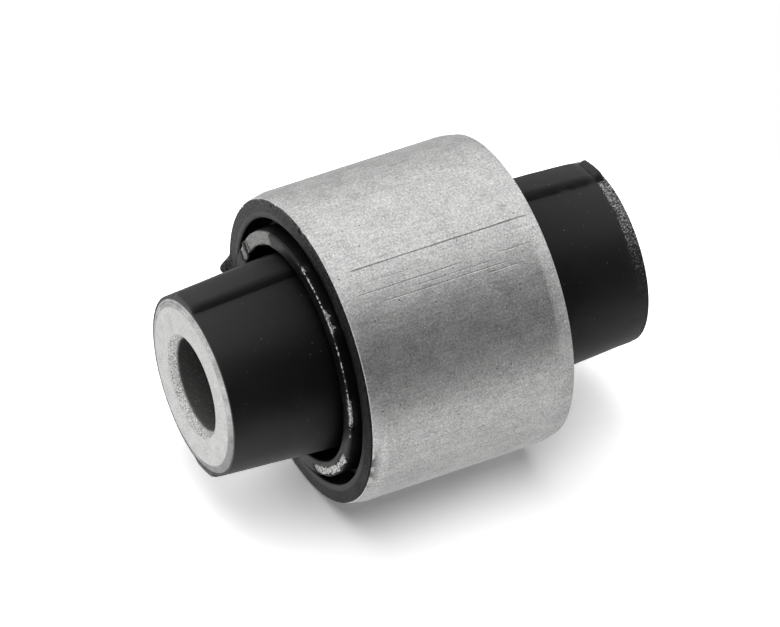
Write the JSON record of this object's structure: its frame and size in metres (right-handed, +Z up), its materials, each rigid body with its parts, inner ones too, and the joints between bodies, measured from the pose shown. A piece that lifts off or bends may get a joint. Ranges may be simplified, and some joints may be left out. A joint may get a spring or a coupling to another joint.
{
  "type": "rubber metal bush",
  "caption": "Cylindrical rubber metal bush: bonded rubber between a long inner sleeve with a through bore and a press-in outer sleeve.",
  "frame": {"origin": "centre of the lower end face, on the surface the bush stands on", "axes": "+Z up along the axis of the bore, the moulded ribs on +Y and -Y"},
  "size_m": [0.042, 0.042, 0.0604],
  "materials": {
    "inner_sleeve_steel": "matt grey zinc phosphate, grainy, bare at the end faces",
    "moulded_rubber": "black moulded natural rubber, satin, with flash and thin film over steel",
    "ring_steel": "bare steel strip where the rubber has windows",
    "outer_sleeve_steel": "silver zinc plate, finely pitted, with drawing scratches along the axis"
  },
  "bodies": {
    "root": {"inner_sleeve": "inner_sleeve_steel", "rubber_body": "moulded_rubber", "intermediate_ring": "ring_steel", "outer_sleeve": "outer_sleeve_steel"}
  },
  "joints": []
}
